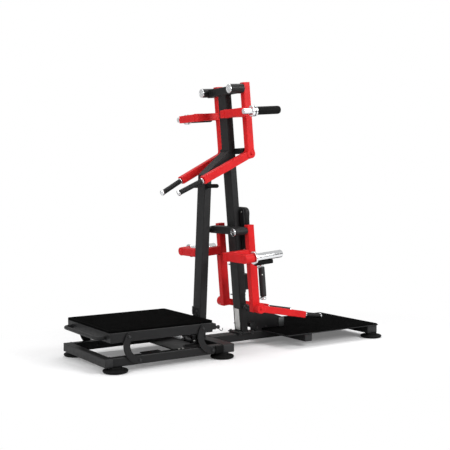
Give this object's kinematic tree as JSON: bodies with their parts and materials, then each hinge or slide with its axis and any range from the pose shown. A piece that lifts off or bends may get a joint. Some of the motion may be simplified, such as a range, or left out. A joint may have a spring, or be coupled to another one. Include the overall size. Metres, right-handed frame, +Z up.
{
  "type": "standing lateral raise machine",
  "caption": "Two-station standing lateral raise machine: swinging arms on a leaning column, a lifting platform on links and a low deck.",
  "frame": {"origin": "centre of the overall box's footprint, on the floor", "axes": "+X from the lifting platform to the low deck, +Y to the far side in the picture, +Z up"},
  "size_m": [2.221, 0.867, 1.7697],
  "materials": {
    "black_paint": "satin powder coat",
    "red_paint": "gloss powder coat",
    "chrome": "polished",
    "black_rubber": "matte",
    "ribbed_mat": "ribbed, matte",
    "pad_cover": "grained vinyl",
    "spring_alloy": "satin"
  },
  "bodies": {
    "base": {"rear_frame": "black_paint", "centre_cross": "black_paint", "spine_frame": "black_paint", "low_deck": "ribbed_mat", "tall_column": "black_paint", "column_brace": "black_paint", "short_upright": "black_paint", "diagonal_beam": "black_paint", "arm_stop_rod": "black_rubber", "upper_t_beam": "black_paint", "lower_t_beam": "black_paint", "chest_pad_board": "black_paint", "chest_pad": "pad_cover", "spring_bracket": "black_paint", "foot_rear_near": "black_rubber", "foot_rear_far": "black_rubber", "foot_centre_near": "black_rubber", "foot_centre_far": "black_rubber", "foot_front_near": "black_rubber", "foot_front_far": "black_rubber"},
    "link_front": {"link_pair_front": "black_paint"},
    "link_rear": {"link_pair_rear": "black_paint"},
    "platform": {"platform_frame": "black_paint", "platform_mat": "ribbed_mat"},
    "spring_rod": {"spring_rod": "chrome"},
    "spring_cylinder": {"spring_cylinder": "spring_alloy"},
    "latch": {"latch_pin": "chrome"},
    "knob": {"column_knob": "black_rubber"},
    "upper_near": {"upper_arm_near": "red_paint", "upper_axle_cap_near": "chrome", "upper_incline_near": "red_paint", "upper_handle_near": "chrome", "upper_grip_near": "black_rubber", "upper_horn_near": "chrome", "upper_sleeve_near": "black_rubber"},
    "lower_near": {"lower_arm_near": "red_paint", "lower_axle_cap_near": "chrome", "lower_forward_near": "red_paint", "lower_handle_near": "chrome", "lower_grip_near": "black_rubber", "lower_horn_near": "chrome", "horn_keeper_near": "black_rubber", "roller_post_near": "chrome"},
    "roller_near": {"leg_roller_near": "black_rubber"},
    "upper_far": {"upper_arm_far": "red_paint", "upper_axle_cap_far": "chrome", "upper_incline_far": "red_paint", "upper_handle_far": "chrome", "upper_grip_far": "black_rubber", "upper_horn_far": "chrome", "upper_sleeve_far": "black_rubber"},
    "lower_far": {"lower_arm_far": "red_paint", "lower_axle_cap_far": "chrome", "lower_forward_far": "red_paint", "lower_handle_far": "chrome", "lower_grip_far": "black_rubber", "lower_horn_far": "chrome", "horn_keeper_far": "black_rubber", "roller_post_far": "chrome"},
    "roller_far": {"leg_roller_far": "black_rubber"}
  },
  "joints": [
    {"name": "lift_front", "type": "hinge", "parent": "base", "child": "link_front", "pos_m": [-0.345, 0, 0.0615], "axis": [0, 1, 0], "range_deg": [-40, 10]},
    {"name": "lift_rear", "type": "hinge", "parent": "base", "child": "link_rear", "pos_m": [-0.855, 0, 0.0615], "axis": [0, 1, 0], "range_deg": [-40, 10]},
    {"name": "platform_level", "type": "hinge", "parent": "link_front", "child": "platform", "pos_m": [-0.416, 0, 0.206], "axis": [0, 1, 0], "range_deg": [-10, 40]},
    {"name": "spring_foot", "type": "hinge", "parent": "base", "child": "spring_rod", "pos_m": [-0.295, 0, 0.068], "axis": [0, 1, 0], "range_deg": [-15, 4]},
    {"name": "spring_head", "type": "hinge", "parent": "platform", "child": "spring_cylinder", "pos_m": [-0.62, 0, 0.18], "axis": [0, 1, 0], "range_deg": [-15, 4]},
    {"name": "latch_pull", "type": "slide", "parent": "platform", "child": "latch", "axis": [1, 0, 0], "range_m": [0, 0.018], "stiffness_N_per_m": 300, "springref_m": -0.005},
    {"name": "knob_pull", "type": "slide", "parent": "base", "child": "knob", "axis": [0, -1, 0], "range_m": [0, 0.012], "stiffness_N_per_m": 300, "springref_m": -0.005},
    {"name": "upper_swing_near", "type": "hinge", "parent": "base", "child": "upper_near", "pos_m": [-0.07149, -0.165, 1.72242], "axis": [-0.9962, 0, -0.0872], "range_deg": [0, 85]},
    {"name": "lower_swing_near", "type": "hinge", "parent": "base", "child": "lower_near", "pos_m": [0.00974, -0.174, 0.79397], "axis": [-0.9962, 0, -0.0872], "range_deg": [0, 45]},
    {"name": "roller_spin_near", "type": "hinge", "parent": "lower_near", "child": "roller_near", "pos_m": [0.18468, -0.12, 0.44087], "axis": [-0.0872, 0, 0.9962], "continuous": true},
    {"name": "upper_swing_far", "type": "hinge", "parent": "base", "child": "upper_far", "pos_m": [-0.07149, 0.165, 1.72242], "axis": [0.9962, 0, 0.0872], "range_deg": [0, 85]},
    {"name": "lower_swing_far", "type": "hinge", "parent": "base", "child": "lower_far", "pos_m": [0.00974, 0.174, 0.79397], "axis": [0.9962, 0, 0.0872], "range_deg": [0, 45]},
    {"name": "roller_spin_far", "type": "hinge", "parent": "lower_far", "child": "roller_far", "pos_m": [0.18468, 0.12, 0.44087], "axis": [-0.0872, 0, 0.9962], "continuous": true}
  ],
  "couplings": [
    {"joint": "lift_rear", "follows": "lift_front", "ratio": 1},
    {"joint": "platform_level", "follows": "lift_front", "ratio": -1},
    {"joint": "spring_foot", "follows": "lift_front", "ratio": 0.355},
    {"joint": "spring_head", "follows": "lift_front", "ratio": 0.355}
  ]
}
